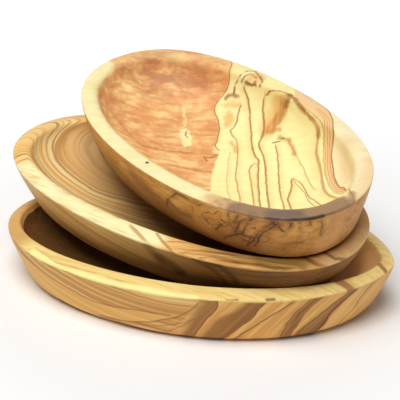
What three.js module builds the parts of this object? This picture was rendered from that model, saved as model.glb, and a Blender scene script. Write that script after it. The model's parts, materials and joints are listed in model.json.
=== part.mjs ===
// A stacked set of three boat-shaped dip bowls, each carved from one piece of olive wood.
// Sizes are in millimetres and angles in degrees. +Z is up, and +X runs along the large bowl,
// which stands on the table with the middle of its base at the origin.
import * as THREE from "three";

// Large bowl, at the bottom of the stack
const large = {
  length: 220, // over the outer edge of the rim, tip to tip
  width: 127, // over the outer edge of the rim, side to side
  height: 32.3, // from the base to the top of the rim
  floor: 8, // wood left under the middle of the hollow
  rimAtEnds: 5.2, // breadth of the rim at the two tips
  rimAtSides: 9.5, // breadth of the rim half way along the sides
  lip: 1.2, // radius of the rounding from the rim into the hollow
  rimFall: 1.8, // how far the rim slopes down to its outer edge
  flareAtEnds: 13.3, // how far the tips overhang the base
  flareAtSides: 7.4, // how far the sides overhang the base
  baseEdge: 5, // radius of the rounded edge round the base
  leftAside: 0, // how far the left tip lies from the long axis, towards +Y
  leftTip: 88, // angle between the long axis and the outline at the left tip
  rightTip: 77, // the same at the right tip, which comes to a point
  leftFullness: 0.735, // how far the outline runs across the left tip, as a share of half the width
  rightFullness: 0.775, // the same at the right tip
  sideFullness: 0.35, // how far the outline runs along a side, as a share of half the length
  colour: 0xb98246,
};

// Medium bowl, lying in the large one
const medium = {
  length: 216.2,
  width: 115.3,
  height: 30.6,
  floor: 8,
  rimAtEnds: 5.6,
  rimAtSides: 8.4,
  lip: 2.5,
  rimFall: 1.6,
  flareAtEnds: 15.1,
  flareAtSides: 8.1,
  baseEdge: 5,
  leftAside: -5.9,
  leftTip: 90,
  rightTip: 90,
  leftFullness: 0.655,
  rightFullness: 0.75,
  sideFullness: 0.47,
  colour: 0xc4904f,
};

// Small bowl, on top
const small = {
  length: 191.9,
  width: 115.3,
  height: 33.8,
  floor: 8,
  rimAtEnds: 3.7,
  rimAtSides: 7.1,
  lip: 3.5,
  rimFall: 0.6,
  flareAtEnds: 7.5,
  flareAtSides: 9.8,
  baseEdge: 5,
  leftAside: 1.7,
  leftTip: 90,
  rightTip: 90,
  leftFullness: 0.73,
  rightFullness: 0.74,
  sideFullness: 0.47,
  colour: 0xd3a563,
};

// Where the loose bowls were set down: the middle of the base, the turn seen from above and the first lean
const mediumPlace = { x: -10.8, y: 15.6, turn: -16.2, pitch: 4.4, roll: 7.1 };
const smallPlace = { x: 7.4, y: 20.5, turn: -32.5, pitch: 6.5, roll: 6.5 };

// A loose bowl lies this far above the wood that carries it
const restingGap = 0.3;

// How the carved sections run between their driving sizes
const wallBulge = 1.25; // over 1 the outer wall swells as it rises
const hollowFullness = 3; // higher gives a flatter floor
const hollowSteepness = 1.6; // higher gives steeper walls under the rim

// Fineness of the surfaces
const pointsAround = 72;
const baseEdgeRings = 3;
const wallRings = 4;
const lipRings = 3;
const hollowRings = 9;

// Fineness of the settling, where loose bowls are tried against the wood below them
const triedPointsAround = 288;
const triedDirections = 720;
const liftStep = 0.004;
const firstTip = 2;
const lastTip = 0.02;
const waysToTip = 12;

const radians = THREE.MathUtils.degToRad;
const between = THREE.MathUtils.lerp;

// A quarter of an outline, from a tip at x = 1 to the middle of a side at y = 1, in shares of half sizes
function quarterOutline(bowl, tipAngle, tipFullness, steps) {
  const acrossTip = (tipFullness * bowl.width) / bowl.length;
  const quarter = new THREE.CubicBezierCurve(
    new THREE.Vector2(1, 0),
    new THREE.Vector2(
      1 - acrossTip * Math.cos(radians(tipAngle)),
      tipFullness * Math.sin(radians(tipAngle)),
    ),
    new THREE.Vector2(bowl.sideFullness, 1),
    new THREE.Vector2(0, 1),
  );
  return quarter.getSpacedPoints(steps);
}

// The outline seen from above, counter-clockwise from the right tip, in shares of half sizes
function outlineOf(bowl, count) {
  const steps = Math.round(count / 4);
  const right = quarterOutline(bowl, bowl.rightTip, bowl.rightFullness, steps);
  const left = quarterOutline(bowl, bowl.leftTip, bowl.leftFullness, steps);
  const aside = bowl.leftAside / (bowl.width / 2);
  const onRight = (points, y) => points.map((p) => new THREE.Vector2(p.x, y * p.y));
  const onLeft = (points, y) => points.map((p) => new THREE.Vector2(-p.x, y * p.y + aside * p.x ** 2));
  return [
    ...right.slice(0, -1),
    ...onLeft(left, 1).reverse().slice(0, -1),
    ...onLeft(left, -1).slice(0, -1),
    ...onRight(right, -1).reverse().slice(0, -1),
  ];
}

// Height of the rim's outer edge, where the outer wall ends
function wallTop(bowl) {
  return bowl.height - bowl.rimFall;
}

// A level ring of the outer wall: its half length and half width at a height
function wallAt(bowl, z) {
  const lean = Math.max(0, 1 - z / wallTop(bowl)) ** wallBulge;
  const belowEdge = Math.max(0, bowl.baseEdge - z);
  const round = bowl.baseEdge - Math.sqrt(bowl.baseEdge ** 2 - belowEdge ** 2);
  return {
    a: bowl.length / 2 - bowl.flareAtEnds * lean - round,
    b: bowl.width / 2 - bowl.flareAtSides * lean - round,
    z,
  };
}

// The ring at the mouth of the hollow, where the rim begins to round over into it
function mouthOf(bowl) {
  return {
    a: bowl.length / 2 - bowl.rimAtEnds,
    b: bowl.width / 2 - bowl.rimAtSides,
    z: bowl.height,
  };
}

// The share of the hollow, out from its middle, at which its wall ends and its lip begins
function wallShareOf(bowl) {
  return 1 - bowl.lip / mouthOf(bowl).b;
}

// Height of the hollow's surface, from share 0 at its middle to share 1 at its mouth
function hollowHeight(bowl, share) {
  const wallShare = wallShareOf(bowl);
  if (share > wallShare) {
    const inward = (1 - share) / (1 - wallShare);
    return bowl.height - bowl.lip * (1 - Math.sqrt(1 - inward ** 2));
  }
  const rise = 1 - (1 - (share / wallShare) ** hollowFullness) ** (1 / hollowSteepness);
  return between(bowl.floor, bowl.height - bowl.lip, rise);
}

// The rings of the outside, from the flat base round its edge and up to the rim
function outsideRings(bowl) {
  const rings = [];
  for (let i = 0; i < baseEdgeRings; i++) {
    const turn = (Math.PI / 2) * (i / baseEdgeRings);
    rings.push(wallAt(bowl, bowl.baseEdge * (1 - Math.cos(turn))));
  }
  for (let i = 0; i <= wallRings; i++) {
    rings.push(wallAt(bowl, between(bowl.baseEdge, wallTop(bowl), i / wallRings)));
  }
  return rings;
}

// A ring of the hollow's surface at a share out from its middle
function hollowAt(bowl, share) {
  const mouth = mouthOf(bowl);
  return { a: mouth.a * share, b: mouth.b * share, z: hollowHeight(bowl, share) };
}

// The rings of the inside, from the mouth over the lip and down into the hollow
function insideRings(bowl) {
  const wallShare = wallShareOf(bowl);
  const rings = [];
  for (let i = 0; i < lipRings; i++) {
    const turn = (Math.PI / 2) * (i / lipRings);
    rings.push(hollowAt(bowl, between(1, wallShare, Math.sin(turn))));
  }
  for (let i = 0; i < hollowRings; i++) {
    rings.push(hollowAt(bowl, wallShare * Math.cos((Math.PI / 2) * (i / hollowRings))));
  }
  return rings;
}

// Points of an outline laid along rings, one ring after another
function pointsOn(rings, outline) {
  return rings.flatMap((ring) => outline.map((p) => new THREE.Vector3(p.x * ring.a, p.y * ring.b, ring.z)));
}

// The closed surface of a bowl in its own frame, standing level with the middle of its base at the origin
function bowlGeometry(bowl) {
  const outline = outlineOf(bowl, pointsAround);
  const around = outline.length;
  const points = pointsOn([...outsideRings(bowl), ...insideRings(bowl)], outline);
  const lastRing = points.length - around;
  const underside = points.push(new THREE.Vector3(0, 0, 0)) - 1;
  const bottom = points.push(new THREE.Vector3(0, 0, bowl.floor)) - 1;
  const faces = [];
  for (let j = 0; j < around; j++) {
    const next = (j + 1) % around;
    faces.push(underside, next, j);
    for (let ring = 0; ring < lastRing; ring += around) {
      const above = ring + around;
      faces.push(ring + j, ring + next, above + next);
      faces.push(ring + j, above + next, above + j);
    }
    faces.push(bottom, lastRing + j, lastRing + next);
  }
  const geometry = new THREE.BufferGeometry().setFromPoints(points);
  geometry.setIndex(faces);
  geometry.computeVertexNormals();
  return geometry;
}

// Centre of mass of a closed surface, summed over the tetrahedra from the origin to each face
function centreOfMass(geometry) {
  const corners = geometry.toNonIndexed().getAttribute("position");
  const centre = new THREE.Vector3();
  let volume = 0;
  for (let i = 0; i < corners.count; i += 3) {
    const [p, q, r] = [0, 1, 2].map((k) => new THREE.Vector3().fromBufferAttribute(corners, i + k));
    const part = p.dot(q.clone().cross(r)) / 6;
    volume += part;
    centre.addScaledVector(p.add(q).add(r), part / 4);
  }
  return centre.divideScalar(volume);
}

// How far an outline reaches from its middle in evenly spaced directions, in shares of half sizes
function reachOf(outline) {
  const bearing = (p) => (Math.atan2(p.y, p.x) + 2 * Math.PI) % (2 * Math.PI);
  const reach = [];
  let i = 0;
  for (let k = 0; k < triedDirections; k++) {
    const angle = (2 * Math.PI * k) / triedDirections;
    while (i < outline.length - 1 && bearing(outline[i + 1]) <= angle) i++;
    const from = outline[i];
    const along = outline[(i + 1) % outline.length].clone().sub(from);
    reach.push(from.cross(along) / (Math.cos(angle) * along.y - Math.sin(angle) * along.x));
  }
  return reach;
}

// A bowl's wood as a yes or no test at a point of its own frame, and the points that may touch another bowl
function woodOf(bowl) {
  const outline = outlineOf(bowl, triedPointsAround);
  const reach = reachOf(outline);
  const mouth = mouthOf(bowl);

  // Place of a point inside a ring: 0 at the middle, 1 on the ring
  const shareOf = (x, y, ring) => {
    const u = x / ring.a;
    const v = y / ring.b;
    const direction = ((Math.atan2(v, u) / (2 * Math.PI) + 1) % 1) * reach.length;
    const k = Math.floor(direction);
    return Math.hypot(u, v) / between(reach[k], reach[(k + 1) % reach.length], direction - k);
  };

  const holds = ({ x, y, z }) => {
    if (z < 0 || z > bowl.height) return false;
    const inWall = shareOf(x, y, wallAt(bowl, Math.min(z, wallTop(bowl))));
    if (inWall > 1) return false;
    const inMouth = shareOf(x, y, mouth);
    if (inMouth < 1) return z < hollowHeight(bowl, inMouth);
    if (z < wallTop(bowl)) return true;
    const acrossRim = (inMouth - 1) / (inMouth / inWall - 1);
    return z < bowl.height - bowl.rimFall * acrossRim;
  };

  const lip = insideRings(bowl).slice(0, lipRings + 1);
  return { holds, outside: pointsOn(outsideRings(bowl), outline), lip: pointsOn(lip, outline) };
}

// The matrix that puts a bowl down at a place, with its base at a height
function poseAt(place, z) {
  const lean = new THREE.Euler(radians(place.roll), radians(place.pitch), radians(place.turn), "ZYX");
  return new THREE.Matrix4().makeRotationFromEuler(lean).setPosition(place.x, place.y, z);
}

// The height at which a bowl at a place first clears the one below it
function clearHeight(upper, place, lower) {
  const point = new THREE.Vector3();
  const meets = (z) => {
    const toLower = lower.pose.clone().invert().multiply(poseAt(place, z));
    const toUpper = toLower.clone().invert();
    return (
      lower.wood.lip.some((p) => upper.wood.holds(point.copy(p).applyMatrix4(toUpper))) ||
      upper.wood.outside.some((p) => lower.wood.holds(point.copy(p).applyMatrix4(toLower)))
    );
  };
  let low = lower.box.min.z;
  let high = lower.box.max.z + upper.bowl.length;
  while (high - low > liftStep) {
    const middle = (low + high) / 2;
    if (meets(middle)) low = middle;
    else high = middle;
  }
  return high;
}

// Lets a loose bowl tip on the one below until its centre of mass can sink no further, and gives that pose
function settle(upper, start, lower) {
  const massHeight = (place) => {
    const pose = poseAt(place, clearHeight(upper, place, lower));
    return upper.centre.clone().applyMatrix4(pose).z;
  };
  let place = start;
  let lowest = massHeight(place);
  let tip = firstTip;
  while (tip > lastTip) {
    let sank = false;
    for (let i = 0; i < waysToTip; i++) {
      const way = (2 * Math.PI * i) / waysToTip;
      const pitch = place.pitch + tip * Math.cos(way);
      const roll = place.roll + tip * Math.sin(way);
      const tipped = { ...place, pitch, roll };
      const height = massHeight(tipped);
      if (height < lowest) {
        lowest = height;
        place = tipped;
        sank = true;
      }
    }
    if (!sank) tip /= 2;
  }
  return poseAt(place, clearHeight(upper, place, lower) + restingGap);
}

// One carved bowl, with what it takes to rest it on another
function carve(name, bowl) {
  const geometry = bowlGeometry(bowl);
  const oiledWood = new THREE.MeshStandardMaterial({ color: bowl.colour, roughness: 0.45, metalness: 0 });
  const mesh = new THREE.Mesh(geometry, oiledWood);
  mesh.name = name;
  return { bowl, mesh, wood: woodOf(bowl), centre: centreOfMass(geometry) };
}

// Puts a carved bowl down at its pose in the stack
function putDown(carved, pose) {
  carved.pose = pose;
  carved.mesh.applyMatrix4(pose);
  carved.box = new THREE.Box3().setFromObject(carved.mesh);
}

const largeBowl = carve("large_bowl", large);
putDown(largeBowl, new THREE.Matrix4());

const mediumBowl = carve("medium_bowl", medium);
putDown(mediumBowl, settle(mediumBowl, mediumPlace, largeBowl));

const smallBowl = carve("small_bowl", small);
putDown(smallBowl, settle(smallBowl, smallPlace, mediumBowl));

const bowlSet = new THREE.Group();
bowlSet.name = "dip_bowl_set";
bowlSet.add(largeBowl.mesh, mediumBowl.mesh, smallBowl.mesh);

export default bowlSet;
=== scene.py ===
# %% [markdown]
# # Three stacked dip bowls of olive wood
# Each bowl is one carved piece of wood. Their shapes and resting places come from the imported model, so this
# lesson only gives them their finish: sanded edges, the slight waves that a hand tool leaves, and the wood
# itself. Olive wood is the whole show here. It is made from growth layers, drawn lines and knots, all in
# real millimetres.

# %% Load the frame
import json
import math

import bmesh
import bpy
import numpy as np
from mathutils import Matrix, Vector


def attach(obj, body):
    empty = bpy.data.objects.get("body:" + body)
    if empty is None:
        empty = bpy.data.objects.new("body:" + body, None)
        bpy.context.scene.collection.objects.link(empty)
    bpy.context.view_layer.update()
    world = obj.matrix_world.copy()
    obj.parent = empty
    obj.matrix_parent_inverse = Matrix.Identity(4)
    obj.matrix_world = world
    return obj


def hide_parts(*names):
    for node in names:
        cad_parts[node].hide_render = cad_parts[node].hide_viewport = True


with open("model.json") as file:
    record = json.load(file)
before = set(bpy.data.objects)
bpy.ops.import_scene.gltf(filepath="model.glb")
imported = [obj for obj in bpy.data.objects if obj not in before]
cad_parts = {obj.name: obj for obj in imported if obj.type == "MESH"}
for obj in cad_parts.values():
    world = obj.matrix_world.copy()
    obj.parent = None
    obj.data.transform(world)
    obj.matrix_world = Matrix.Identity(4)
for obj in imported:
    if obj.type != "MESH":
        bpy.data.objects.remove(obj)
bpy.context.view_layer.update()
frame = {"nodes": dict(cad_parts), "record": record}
MM = 0.001

# %% [markdown]
# ## Two helpers
# Node trees make both the carved surface and the wood. One function adds a node, sets it up and links it,
# so a tree reads as a list of steps. Colours are written as a paint chart has them, in sRGB, and Blender
# works in linear light.

# %% Helpers


def add(tree, kind, *values, **settings):
    """Adds a node, fills its inputs in order with numbers or links, and gives its first output."""
    node = tree.nodes.new(kind)
    for name, setting in settings.items():
        setattr(node, name, setting)
    sockets = [s for s in node.inputs if not s.is_unavailable]
    for socket, value in zip(sockets, values):
        if isinstance(value, bpy.types.NodeSocket):
            tree.links.new(value, socket)
        elif value is not None:
            socket.default_value = value
    return next((s for s in node.outputs if not s.is_unavailable), None)


def linear(colour):
    """An sRGB hex colour as linear red, green, blue and alpha."""
    parts = [int(colour[i : i + 2], 16) / 255 for i in (0, 2, 4)]
    return tuple(c / 12.92 if c <= 0.04045 else ((c + 0.055) / 1.055) ** 2.4 for c in parts) + (1.0,)


# %% [markdown]
# ## Where each bowl lies
# The wood's pattern belongs to the piece that it was cut from, so it has to lean with the bowl. The lean
# could be copied from the model's record, but the flat base shows it too: its largest triangles point
# straight down out of the bowl, and its outline is longest along the bowl.

# %% Measure each bowl's own frame
# How far a triangle of the base faces down, and how alike two normals of one plane are
FACES_DOWN = -0.9
SAME_PLANE = 0.99999


def own_frame(node):
    """Matrix from a bowl's own frame to the set's: base in the middle, X along the bowl, Z up out of it."""
    mesh = node.data
    down = [p for p in mesh.polygons if p.normal.z < FACES_DOWN]
    base_normal = max(down, key=lambda p: p.area).normal
    base = [p for p in down if p.normal.dot(base_normal) > SAME_PLANE]
    area = sum(p.area for p in base)
    middle = sum((p.center * p.area for p in base), Vector()) / area
    up = -base_normal.normalized()
    points = np.array([mesh.vertices[i].co - middle for p in base for i in p.vertices])
    along = Vector(np.linalg.eigh(points.T @ points)[1][:, -1])
    along = (along - up * along.dot(up)).normalized() * math.copysign(1, along.x)
    axes = Matrix((along, up.cross(along), up)).transposed().to_4x4()
    return Matrix.Translation(middle) @ axes


frames = {name: own_frame(node) for name, node in frame["nodes"].items()}
for name, matrix in frames.items():
    lean = [round(math.degrees(a), 1) for a in matrix.to_euler()]
    print(name, "stands at", [round(v / MM, 1) for v in matrix.translation], "leaning", lean)

# %% [markdown]
# ## The carved surface
# A bowl is sawn to its outline, hollowed with a cutter and sanded by hand. Sanding breaks every edge a
# little, so each edge that is still sharp gets a small bevel first. Geometry Nodes then rounds the facets
# off with a subdivision surface and pushes the wood in and out by a fraction of a millimetre, as hand
# sanding does. A sculpted mesh could do the same, but the tree keeps every size adjustable.

# %% Copy the solids with sanded rims
MERGED_WITHIN = 0.01 * MM
FAN_FACES = 12
SANDED_EDGE = 0.9 * MM
SHARP = math.radians(50)


def sanded_copy(name):
    """A merged copy of a CAD bowl, made of quads, with its sharp edges bevelled."""
    bm = bmesh.new()
    bm.from_mesh(frame["nodes"][name].data)
    bmesh.ops.remove_doubles(bm, verts=bm.verts, dist=MERGED_WITHIN)
    fans = {f for v in bm.verts if len(v.link_faces) > FAN_FACES for f in v.link_faces}
    longest = {f: max(f.edges, key=lambda e: e.calc_length()) for f in bm.faces if f not in fans}
    diagonals = [e for e in bm.edges if all(longest.get(f) == e for f in e.link_faces)]
    bmesh.ops.dissolve_edges(bm, edges=diagonals, use_verts=False)
    sharp = [e for e in bm.edges if e.is_manifold and e.calc_face_angle() > SHARP]
    bmesh.ops.bevel(bm, geom=sharp, offset=SANDED_EDGE, segments=2, profile=0.5, affect="EDGES")
    mesh = bpy.data.meshes.new(name + "_carved")
    bm.to_mesh(mesh)
    bm.free()
    bowl = bpy.data.objects.new(name + "_carved", mesh)
    bpy.context.scene.collection.objects.link(bowl)
    print(bowl.name, len(mesh.polygons), "faces,", len(sharp), "edges sanded")
    return bowl


bowls = {name: sanded_copy(name) for name in frame["nodes"]}

# %% Build the carving tree


def carving_tree():
    """Rounds a bowl off, waves its surface along the normals and gives it its wood."""
    tree = bpy.data.node_groups.new("carved wood surface", "GeometryNodeTree")
    for name, kind in (
        ("Bowl", "NodeSocketGeometry"),
        ("Rounding", "NodeSocketInt"),
        ("Wave length", "NodeSocketFloat"),
        ("Wave depth", "NodeSocketFloat"),
        ("Seed", "NodeSocketFloat"),
        ("Wood", "NodeSocketMaterial"),
    ):
        tree.interface.new_socket(name, in_out="INPUT", socket_type=kind)
    tree.interface.new_socket("Carved bowl", in_out="OUTPUT", socket_type="NodeSocketGeometry")
    bowl, rounding, length, depth, seed, wood = tree.nodes.new("NodeGroupInput").outputs[:6]
    rounded = add(tree, "GeometryNodeSubdivisionSurface", bowl, rounding)
    place = add(tree, "GeometryNodeInputPosition")
    frequency = add(tree, "ShaderNodeMath", 1.0, length, operation="DIVIDE")
    wave = add(tree, "ShaderNodeTexNoise", place, seed, frequency, 1.0, noise_dimensions="4D")
    swing = add(tree, "ShaderNodeMath", wave, 0.5, operation="SUBTRACT")
    push = add(tree, "ShaderNodeMath", swing, depth, operation="MULTIPLY")
    normal = add(tree, "GeometryNodeInputNormal")
    offset = add(tree, "ShaderNodeVectorMath", normal, push, operation="SCALE")
    waved = add(tree, "GeometryNodeSetPosition", rounded, None, None, offset)
    smooth = add(tree, "GeometryNodeSetShadeSmooth", waved)
    real = add(tree, "GeometryNodeRealizeInstances", smooth)
    finished = add(tree, "GeometryNodeSetMaterial", real, None, wood)
    add(tree, "NodeGroupOutput", finished, is_active_output=True)
    return tree


carving = carving_tree()
print("carving tree with", len(carving.nodes), "nodes")

# %% [markdown]
# ## Olive wood
# Olive grows slowly and unevenly: pale sapwood, golden and brown bands, thin nearly black lines, and knots
# that the lines bend round. A photograph could be wrapped on, but it would smear on the walls and show a
# seam. Here the wood is a solid block of pattern, so that the rim, the walls and the hollow cut through the
# same layers. A growth layer is written as a height in millimetres in the bowl's own frame; bands and lines
# then follow that height. Sanding and oiling leave a satin surface: little shine, and fibres that can just
# be felt. The fibres are drawn coarser than real ones, because those are too fine to show.

# %% Start and finish a wood
SATIN = 0.5
OIL_IOR = 1.46
OIL_SHINE = 0.3
FIBRE_RELIEF = 0.15 * MM
RELIEF_STRENGTH = 0.25


def start_wood(name, matrix):
    """A new material: its tree, the point to colour in the bowl's millimetres, and how far it faces up."""
    material = bpy.data.materials.new(name)
    material.use_nodes = True
    tree = material.node_tree
    tree.nodes.clear()
    coordinates = tree.nodes.new("ShaderNodeTexCoord").outputs
    place, lean = matrix.translation, matrix.to_euler()
    point = add(
        tree, "ShaderNodeMapping", coordinates["Object"], place, lean, (MM, MM, MM), vector_type="TEXTURE"
    )
    up = matrix.col[2].to_3d()
    facing = add(tree, "ShaderNodeVectorMath", coordinates["Normal"], up, operation="DOT_PRODUCT")
    return material, tree, point, facing


def finish_wood(tree, colour, relief):
    """Sanded and oiled, with the fibres as a faint relief."""
    normal = add(tree, "ShaderNodeBump", RELIEF_STRENGTH, FIBRE_RELIEF, None, relief)
    shader = add(tree, "ShaderNodeBsdfPrincipled", colour, 0.0, SATIN, OIL_IOR, 1.0, normal)
    shader.node.inputs["Specular IOR Level"].default_value = OIL_SHINE
    add(tree, "ShaderNodeOutputMaterial", shader)


def painted(tree, colour, *coats):
    """A colour under some coats, each with a mask from 0 to 1, how much it covers, and its own colour."""
    for mask, cover, paint in coats:
        share = add(tree, "ShaderNodeMath", mask, cover, operation="MULTIPLY")
        colour = add(tree, "ShaderNodeMix", share, colour, linear(paint), data_type="RGBA")
    return colour


# %% Growth layers and fibres
# Noise stays mostly between 0.3 and 0.7, so two values from that range cut a mask out of it
FIBRE_LENGTH = 30
FIBRE_BREADTH = 0.9


def warped(tree, point, size, depth):
    """The point pushed about by up to a depth, in swirls of a size."""
    swirl = add(tree, "ShaderNodeTexNoise", point, 1 / size, 2.0).node.outputs["Color"]
    push = add(tree, "ShaderNodeVectorMath", swirl, (0.5, 0.5, 0.5), operation="SUBTRACT")
    return add(tree, "ShaderNodeVectorMath", push, (2 * depth,) * 3, point, operation="MULTIPLY_ADD")


def fibres(tree, point, length=FIBRE_LENGTH, breadth=FIBRE_BREADTH):
    """Streaks along X, of a length and a breadth."""
    scale = (1 / length, 1 / breadth, 1 / breadth)
    drawn_out = add(tree, "ShaderNodeVectorMath", point, scale, operation="MULTIPLY")
    return add(tree, "ShaderNodeTexNoise", drawn_out, 1.0, 3.0, 0.6)


def across_layers(tree, layer, point, spacing, drift, detail):
    """Noise that changes once every spacing across the growth layers and once every drift along them."""
    fast = add(tree, "ShaderNodeMath", layer, spacing, operation="DIVIDE")
    step = add(tree, "ShaderNodeCombineXYZ", fast)
    place = add(tree, "ShaderNodeVectorMath", point, (1 / drift,) * 3, step, operation="MULTIPLY_ADD")
    return add(tree, "ShaderNodeTexNoise", place, 1.0, detail, 0.55)


def fine_lines(tree, noise, breadth):
    """Thin lines where the noise crosses its middle value."""
    off = add(tree, "ShaderNodeMath", noise, 0.5, operation="SUBTRACT")
    apart = add(tree, "ShaderNodeMath", off, operation="ABSOLUTE")
    return add(tree, "ShaderNodeMapRange", apart, 0.0, breadth, 1.0, 0.0, interpolation_type="SMOOTHSTEP")


# %% Marks drawn one by one
HALO_REACH = 3.5
HALO_COVER = 0.5
RIM_SOFTNESS = 0.3
RIM_FACING = (-0.2, -0.05)


def away_from(tree, point, places):
    """Distance from a place, or from the line drawn through several."""
    away = add(tree, "ShaderNodeVectorMath", point, places[0], operation="DISTANCE")
    for start, end in zip(places, places[1:]):
        run = Vector(end) - Vector(start)
        past_start = add(tree, "ShaderNodeVectorMath", point, start, operation="SUBTRACT")
        share = add(
            tree, "ShaderNodeVectorMath", past_start, run / run.length_squared, operation="DOT_PRODUCT"
        )
        share = add(tree, "ShaderNodeClamp", share)
        along = add(tree, "ShaderNodeVectorMath", run, share, operation="SCALE")
        from_line = add(tree, "ShaderNodeVectorMath", past_start, along, operation="DISTANCE")
        away = add(tree, "ShaderNodeMath", away, from_line, operation="MINIMUM")
    return away


def near(tree, away, reach, edge):
    """1 within a reach, falling to 0 over an edge."""
    low, high = reach - edge / 2, reach + edge / 2
    return add(tree, "ShaderNodeMapRange", away, low, high, 1.0, 0.0, interpolation_type="SMOOTHSTEP")


def marked(tree, colour, point, marks, within=1.0, halo=None):
    """A colour with marks, each a reach, an edge, a cover, a paint and the places it runs through.

    A halo is a second paint that spreads more softly and further round each mark.
    """
    for reach, edge, cover, paint, places in marks:
        away = away_from(tree, point, places)
        if halo:
            around = near(tree, away, HALO_REACH * reach, 2 * HALO_REACH * reach)
            colour = painted(tree, colour, (around, HALO_COVER * cover, halo))
        spot = add(tree, "ShaderNodeMath", near(tree, away, reach, edge), within, operation="MULTIPLY")
        colour = painted(tree, colour, (spot, cover, paint))
    return colour


def rim_mask(tree, z, facing, height):
    """1 on the rim, which lies above a height and faces up."""
    high = add(tree, "ShaderNodeMapRange", z, height - RIM_SOFTNESS, height + RIM_SOFTNESS)
    flat = add(tree, "ShaderNodeMapRange", facing, *RIM_FACING)
    return add(tree, "ShaderNodeMath", high, flat, operation="MULTIPLY")


# %% [markdown]
# ### Growth lines, drawn one by one
# The boldest lines are drawn one by one. Each is a curve across the wood: for some places along it, in
# millimetres, it says how far across it lies. A real growth line is sharp on one side, where the year's
# growth stopped, and fades on the other, so every line has a shaded side. Noise could draw lines too, but
# not where they should be.

# %% Drawn lines
# The range of all courses, how a line's darkness goes across it in breadths, and its fade at each end
ACROSS_LOW = -30
ACROSS_HIGH = 110
LINE_PROFILE = ((-1, 0), (-0.5, 0.5), (0, 1), (0.5, 0.8), (1, 0.45), (2, 0.28), (3.5, 0.12), (5, 0))
LINE_END = 1
THICK_INK = (0.3, 0.8)
INK_COVER = 0.8


def drawn_curve(tree, value, points):
    """A smooth curve through points, each a value and the height from 0 to 1 that the curve has there."""
    low, high = points[0][0], points[-1][0]
    share = add(tree, "ShaderNodeMapRange", value, low, high)
    curve = add(tree, "ShaderNodeFloatCurve", 1.0, share)
    mapping = curve.node.mapping
    on_curve = mapping.curves[0].points
    for place, height in points[1:-1]:
        on_curve.new((place - low) / (high - low), height)
    on_curve[0].location = (0, points[0][1])
    on_curve[-1].location = (1, points[-1][1])
    mapping.update()
    return curve


def beside_line(tree, across, along, course):
    """How far a place lies past a line, in millimetres across it."""
    shares = [(a, (c - ACROSS_LOW) / (ACROSS_HIGH - ACROSS_LOW)) for a, c in course]
    curve = drawn_curve(tree, along, shares)
    from_low = add(tree, "ShaderNodeMath", across, ACROSS_LOW, operation="SUBTRACT")
    return add(tree, "ShaderNodeMath", curve, ACROSS_LOW - ACROSS_HIGH, from_low, operation="MULTIPLY_ADD")


def drawn_lines(tree, across, along, drawn):
    """Darkness of lines, each with a breadth, a strength, a shaded side (1 is past it) and a course."""
    darkness = 0.0
    for breadth, strength, side, course in drawn:
        off = beside_line(tree, across, along, course)
        to_side = add(tree, "ShaderNodeMath", off, side / breadth, operation="MULTIPLY")
        ink = drawn_curve(tree, to_side, LINE_PROFILE)
        first, last = course[0][0], course[-1][0]
        from_middle = add(tree, "ShaderNodeMath", along, (first + last) / 2, operation="SUBTRACT")
        from_middle = add(tree, "ShaderNodeMath", from_middle, operation="ABSOLUTE")
        half = (last - first) / 2
        fade = add(tree, "ShaderNodeMapRange", from_middle, half - LINE_END, half + LINE_END, strength, 0.0)
        ink = add(tree, "ShaderNodeMath", ink, fade, operation="MULTIPLY")
        darkness = add(tree, "ShaderNodeMath", darkness, ink, operation="MAXIMUM")
    return darkness


def inked(tree, colour, ink, shade, core):
    """A colour under drawn lines: a shade where the ink is thin and a core where it is thick."""
    thick = add(tree, "ShaderNodeMapRange", ink, *THICK_INK)
    return painted(tree, colour, (ink, INK_COVER, shade), (thick, INK_COVER, core))


# %% [markdown]
# ### The medium bowl: lined
# Its layers lie almost flat and dip towards the far side, so the hollow cuts them into fine lines that run
# round it like the lines of a map. Lower down they fade into soft rings. Towards the right the hollow and
# the near wall are painted dark: painted shade where the small bowl sits over the hollow and where the wall
# stands down in the large bowl. The near rim was cut from pale sapwood, with a few brown strokes that run
# over it and down the wall. Bands, lines and rings are all noise on one growth height, so that they follow
# each other as real ones do.

# %% Marks of the medium bowl
# Reach, edge, cover, colour and course of each mark, in the bowl's own millimetres
MEDIUM_WALL = (
    (3.0, 5.0, 0.5, "4E2A10", ((10, -57, 28), (13, -56, 23), (17, -54, 17))),
    (3.5, 4.0, 0.6, "3E220E", ((17, -55, 21), (23, -54, 18), (27, -53, 14))),
    (1.6, 1.6, 0.7, "4A280E", ((37, -55, 28), (45, -53, 25), (50, -50, 19), (52, -47, 13))),
    (1.8, 1.8, 0.75, "3E220E", ((43, -53, 29), (51, -52, 27), (55, -50, 22), (58, -47, 16))),
    (1.0, 2.0, 0.6, "8A4A22", ((57, -49, 28), (70, -45, 27), (86, -38, 25), (94, -30, 23))),
)
PALE_RIM = (
    (8.0, 9.0, 0.95, "FFF8BE", ((-84, -36, 30), (-57, -49, 30), (-30, -54, 30), (10, -54, 30))),
)
MEDIUM_EDGE = (
    (1.1, 1.2, 0.7, "B07C44", ((-5, -50, 31), (7, -55, 29), (14, -57, 27))),
    (0.8, 1.0, 0.7, "A8703A", ((11, -49, 31), (18, -53, 30), (25, -56, 28))),
    (6.0, 7.0, 0.5, "8C7434", ((69, -38, 30), (77, -35, 30), (84, -31, 30))),
    (0.9, 1.0, 0.7, "6E4420", ((57, -48, 29), (70, -44, 29), (77, -42, 29), (90, -34, 28))),
    (1.0, 1.2, 0.7, "6E4420", ((85, -28, 30), (93, -29, 30), (98, -27, 29))),
    (8.0, 9.0, 0.5, "FFD49A", ((98, -20, 30), (104, -8, 30), (105, 5, 30))),
    (1.0, 1.2, 0.7, "6E4420", ((94, -19, 30), (100, -20, 30), (105, -16, 28))),
)
print(len(MEDIUM_WALL + PALE_RIM + MEDIUM_EDGE), "marks on the medium bowl")

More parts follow.
